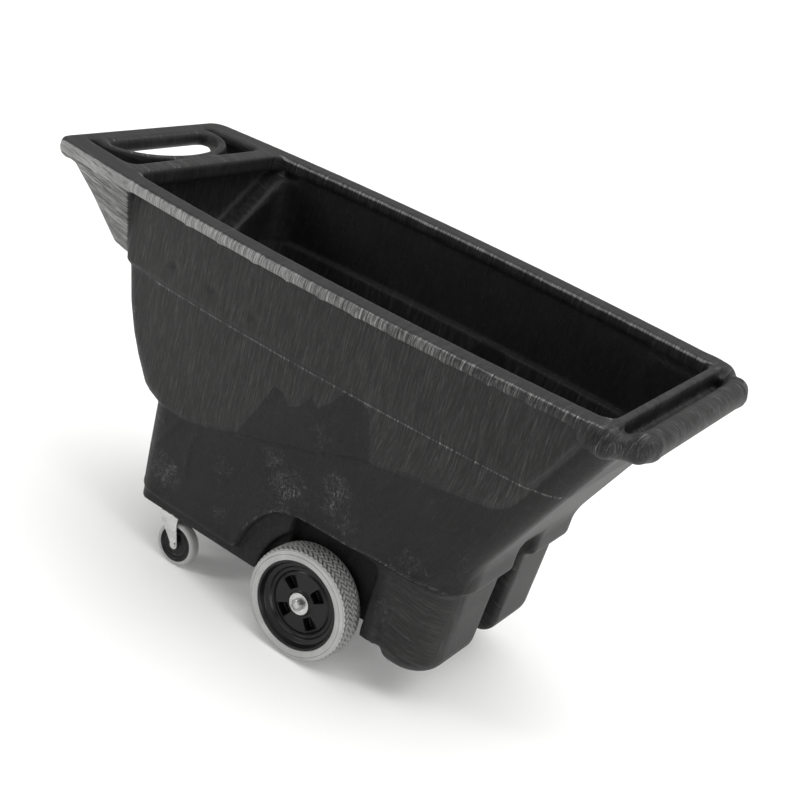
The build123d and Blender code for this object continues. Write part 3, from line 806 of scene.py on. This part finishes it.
def tread(angle, radius, depth):
    """Depth of the grooves between the staggered chevron blocks at a tread point."""
    row = (depth + TYRE_HALF) / (2 * TYRE_HALF) * TREAD_ROWS
    index = np.floor(row)
    slant = np.where(index % 2 == 0, 1.0, -1.0) * (row - index - 0.5) * 0.75
    turn = angle / (2 * math.pi) * TREAD_TURNS + slant + 0.5 * (index % 2)
    block = np.minimum(np.abs(turn - np.round(turn)) / 0.5, 1)
    cross = np.abs(row - index - 0.5) / 0.5
    raised = ease((0.78 - block) / 0.30) * ease((0.97 - cross) / 0.25)
    tread_zone = ease((radius - TREAD_FROM) / 2.5)
    return TREAD_DEEP * tread_zone * (1 - raised)


def place_wheel(points, side, middle):
    """Wheel points (outer face towards negative Y) put on one side, in the frame."""
    placed = points.copy() * MM
    placed[:, 1] *= -side
    return placed + np.array(middle)


def make_tyre(name, side, material):
    """Grey tyre with smooth sidewalls and small chevron blocks."""
    half = TYRE_HALF
    near = [
        (119.8, -half + 5, 1), (121.8, -half + 2, 1), (131, -half, 6), (141, -half + 1.6, 6),
        (148.6, -half + 8, 5), (WHEEL_R - 0.6, -half + 18, 5),
    ]
    corners = near + [(WHEEL_R, 0, 0)] + [(r, -y, fillet) for r, y, fillet in reversed(near)]
    outline = smooth_profile(corners, 1.9)
    turns = 620
    points, faces = ring_mesh(outline, turns, tread)
    radius = np.hypot(points[:, 0], points[:, 2])
    plain = np.tile([p[0] for p in outline], turns)
    placed = place_wheel(points, side, centre(f"{name}_wheel_tyre"))
    piece = make_object(f"{name}_wheel_tread_tyre", placed, faces, material)
    paint(piece, "groove", np.clip((plain - radius) / TREAD_DEEP, 0, 1))
    paint(piece, "tread", ease((plain - TREAD_FROM - 0.3) / 3))
    finish_piece(piece, f"{name}_wheel_tyre", f"{name}_wheel")


def finish_piece(piece, node_name, body_name):
    """Consistent normals, then the frame's bookkeeping for a piece that replaces a node."""
    tidy_normals(piece)
    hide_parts(node_name)
    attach(piece, body_name)


def tidy_normals(piece):
    """Turns every face outwards."""
    shape = bmesh.new()
    shape.from_mesh(piece.data)
    bmesh.ops.recalc_face_normals(shape, faces=shape.faces)
    shape.to_mesh(piece.data)
    shape.free()


def revolved(r, y, profile):
    """Signed distance to a polygon of (radius, y) points turned about the Y axis."""
    nearest = None
    inside = np.zeros(np.broadcast(r, y).shape, dtype=bool)
    for (r0, y0), (r1, y1) in zip(profile, profile[1:] + profile[:1]):
        length = (r1 - r0) ** 2 + (y1 - y0) ** 2
        run = np.clip(((r - r0) * (r1 - r0) + (y - y0) * (y1 - y0)) / length, 0, 1)
        gap = np.hypot(r - r0 - run * (r1 - r0), y - y0 - run * (y1 - y0))
        nearest = gap if nearest is None else np.minimum(nearest, gap)
        if y0 != y1:
            crosses = ((y0 > y) != (y1 > y)) & (r < (r1 - r0) * (y - y0) / (y1 - y0) + r0)
            inside = inside ^ crosses
    return np.where(inside, -nearest, nearest)


# Section of the wheel centre, as (radius, y) points with its outer face towards negative y.
HUB_PROFILE = [
    (HUB_BORE, -20), (32, -20), (35, -15.5), (80, -14), (86, -9), (93, -9), (98, -17), (108, -21),
    (114, -37.5), (RIM_SEAT, -37.5), (RIM_SEAT, 36), (112, 36), (106, -3), (98, 0), (84, 2),
    (78, -6), (36, -7), (31, 0), (30, 41), (HUB_BORE, 41),
]


def hub_field(x, y, z):
    """Dished wheel centre with four wedge windows at the diagonals."""
    r = np.hypot(x, z)
    hub = revolved(r, y, HUB_PROFILE)
    diagonal = np.abs(np.abs(x) - np.abs(z)) * 0.7071
    window = meet(diagonal - 4.5 - 0.20 * r, 41 - r, 4)
    window = meet(window, r - 74, 4)
    collar = np.maximum(np.abs(window) - 2.4, np.abs(y + 15.0) - 2.4)
    cup = meet(window - 4.5, np.abs(y + 1) - 13, 2)
    hub = join(np.minimum(hub, cup), collar, 1.5)
    return cut(hub, np.maximum(window, y - 8), 1.6)


def make_hub(name, side, material):
    """Black wheel centre, held within the tyre's seat."""
    step = 1.5
    points, faces = field_mesh(hub_field, (-124, -44, -124), (124, 46, 124), step)
    radius = np.hypot(points[:, 0], points[:, 2])
    limit = np.clip(RIM_SEAT / np.maximum(radius, 1), None, 1)
    points[:, 0] *= limit
    points[:, 2] *= limit
    middle = (AXLE[0], centre(f"{name}_wheel_tyre")[1], AXLE[2])
    piece = make_object(f"{name}_wheel_hub", place_wheel(points, side, middle), faces, material)
    finish_piece(piece, f"{name}_wheel_rim", f"{name}_wheel")


def make_caster_wheel(name, side, core_material, tyre_material):
    """Caster wheel centre with a ring groove, and its rubber band."""
    core = [
        (6.1, -18, 0), (11, -18, 1), (12.5, -11, 2), (30, -9.5, 2), (33, -12, 1.5), (37, -12, 1.5),
        (40, -9.5, 1.5), (44, -10, 1.5), (47, -14.5, 1.2), (49.8, -14.5, 0.6), (49.8, 14.5, 0.6),
        (47, 14.5, 1.2), (44, 10, 1.5), (40, 9.5, 1.5), (37, 12, 1.5), (33, 12, 1.5), (30, 9.5, 2),
        (12.5, 11, 2), (11, 18, 1), (6.1, 18, 0),
    ]
    band = [
        (49.9, -15, 0.5), (53, -16, 1.2), (58, -15.3, 2), (62.1, -10, 3), (62.5, 0, 0),
        (62.1, 10, 3), (58, 15.3, 2), (53, 16, 1.2), (49.9, 15, 0.5),
    ]
    middle = centre(f"{name}_caster_tyre")
    jobs = (("caster_wheel_core", core, core_material, "caster_core", "hub_plastic"),
            ("caster_wheel_band", band, tyre_material, "caster_tyre", "grey_rubber"))
    for part, corners, material, node_name, slot_name in jobs:
        points, faces = ring_mesh(smooth_profile(corners, 2.0), 96)
        piece = make_object(f"{name}_{part}", place_wheel(points, side, middle), faces, material)
        finish_piece(piece, f"{name}_{node_name}", f"{name}_caster_wheel")


def make_axle_nut(name, side, material):
    """Hexagon nut with chamfered corners."""
    low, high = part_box(f"{name}_axle_nut")
    half = (high[1] - low[1]) / 2 / MM
    flats = min(high[0] - low[0], high[2] - low[2]) / 2 / MM

    def hexagon(angle, radius, depth):
        turn = (angle + math.pi / 6) % (math.pi / 3) - math.pi / 6
        return np.maximum(radius - flats / np.cos(turn), 0)

    bore = (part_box("axle")[1][2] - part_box("axle")[0][2]) / 2 / MM + 0.05
    corners = [
        (bore, -half, 0), (flats - 0.6, -half, 0.3), (flats + 1.6, -half + 1.6, 0.4),
        (flats + 1.6, half - 1.6, 0.4), (flats - 0.6, half, 0.3), (bore, half, 0),
    ]
    points, faces = ring_mesh(smooth_profile(corners, 1.2), 120, hexagon)
    middle = centre(f"{name}_axle_nut")
    piece = make_object(f"{name}_axle_hex_nut", place_wheel(points, side, middle), faces, material)
    piece.data.set_sharp_from_angle(angle=math.radians(28))
    finish_piece(piece, f"{name}_axle_nut", "truck")


def dress_nodes(kinds):
    """Gives each visible CAD node the material of its slot."""
    slots = {row["node"]: row["material_slot"] for row in frame["record"]["subparts"]}
    for name, piece in frame["nodes"].items():
        if piece.hide_render:
            continue
        material = kinds[slots[name]]
        piece.data.materials.clear()
        piece.data.materials.append(material)


# ------------------------------------------------------------------ floor, lights, camera

def make_floor():
    """Wide pale floor."""
    material, tree, shader = blank("studio_floor")
    place = node(tree, "TexCoord").outputs["Object"]
    colour = shades(tree, noise(tree, place, 1.5, 2), (0.3, 0.86), (0.7, 0.88))
    feed(tree, shader, Base_Color=colour, Roughness=0.75, Specular_IOR_Level=0.2)
    feed(tree, shader, Emission_Color=(1, 1, 1, 1), Emission_Strength=0.12)
    size = 40.0
    corners = [(-size, -size, 0), (size, -size, 0), (size, size, 0), (-size, size, 0)]
    make_object("floor", corners, [(0, 1, 2, 3)], material, smooth=False)


def softbox(name, place, target, size, watts):
    """Square area light aimed at a point."""
    light = bpy.data.lights.new(name, "AREA")
    light.shape = "RECTANGLE"
    light.size, light.size_y = size
    light.energy = watts
    lamp = bpy.data.objects.new(name, light)
    lamp.location = place
    lamp.rotation_euler = (Vector(target) - Vector(place)).to_track_quat("-Z", "Y").to_euler()
    bpy.context.scene.collection.objects.link(lamp)


def make_lights():
    """Soft sky, broad light from above and two softboxes."""
    world = bpy.data.worlds.new("studio")
    world.use_nodes = True
    back = world.node_tree.nodes["Background"]
    sky = world.node_tree
    height = node(sky, "SeparateXYZ", {0: node(sky, "TexCoord").outputs["Generated"]}).outputs["Z"]
    glow = shades(sky, height, (0.0, 0.98), (0.16, 0.85), (0.30, 0.26), (1.0, 0.30))
    sky.links.new(glow, back.inputs["Color"])
    bpy.context.scene.world = world
    bpy.context.scene.view_settings.view_transform = "Standard"
    sun = bpy.data.lights.new("overhead", "SUN")
    sun.energy = 3.0
    sun.angle = math.radians(80)
    lamp = bpy.data.objects.new("overhead", sun)
    lamp.rotation_euler = (math.radians(-12), math.radians(6), 0)
    bpy.context.scene.collection.objects.link(lamp)
    softbox("key", (-3.2, -3.2, 2.6), (-0.3, 0, 0.7), (1.2, 1.2), 60)
    softbox("front", (3.6, -1.2, 1.2), (0.3, 0, 0.5), (0.8, 1.8), 45)


CAMERA_TURN = (-26.376, 23.957, -17.4725)       # yaw, pitch and roll in degrees
CAMERA_PLACE = (1.43874, -3.03207, 2.13057)     # metres, X from the main axle
CAMERA_LENS = 64.46


def make_camera():
    """Looks down the near side from ahead, leaning over to one side."""
    yaw, pitch, roll = (math.radians(a) for a in CAMERA_TURN)
    ahead = Vector((math.sin(yaw) * math.cos(pitch), math.cos(yaw) * math.cos(pitch), -math.sin(pitch)))
    right = Vector((math.cos(yaw), -math.sin(yaw), 0))
    down = ahead.cross(right)
    tilted_right = math.cos(roll) * right + math.sin(roll) * down
    tilted_down = -math.sin(roll) * right + math.cos(roll) * down
    data = bpy.data.cameras.new("camera")
    data.lens = CAMERA_LENS
    data.sensor_width = 36.0
    data.clip_end = 200.0
    camera = bpy.data.objects.new("camera", data)
    turn = Matrix((tilted_right, -tilted_down, -ahead)).transposed()
    place = Vector(CAMERA_PLACE) + Vector((AXLE[0], 0, 0))
    camera.matrix_world = Matrix.Translation(place) @ turn.to_4x4()
    bpy.context.scene.collection.objects.link(camera)
    bpy.context.scene.camera = camera


# ------------------------------------------------------------------ assembly

tub_material = tub_plastic()
tyre_rubber = rubber("grey_rubber", 0.40, 0.31)
black_plastic = hub_plastic("hub_plastic")
finishes = {
    "tub_plastic": tub_material,
    "grey_rubber": tyre_rubber,
    "hub_plastic": black_plastic,
    "zinc": metal("bright_zinc", 0.66, 0.46, 0.20, 0.34),
    "steel": metal("drawn_steel", 0.58, 0.42, 0.26, 0.40, 0.4),
    "nylon": nylon(),
    "brass_insert": metal("machined_brass", (0.72, 0.54, 0.25), (0.55, 0.38, 0.15), 0.22, 0.34),
}
nut_zinc = metal("nut_zinc", 0.42, 0.24, 0.16, 0.30)
make_tub(tub_material)
for side_name, side_sign in SIDES:
    make_tyre(side_name, side_sign, tyre_rubber)
    make_hub(side_name, side_sign, black_plastic)
    make_axle_nut(side_name, side_sign, nut_zinc)
    make_caster_wheel(side_name, side_sign, black_plastic, tyre_rubber)
dress_nodes(finishes)
make_floor()
make_lights()
make_camera()
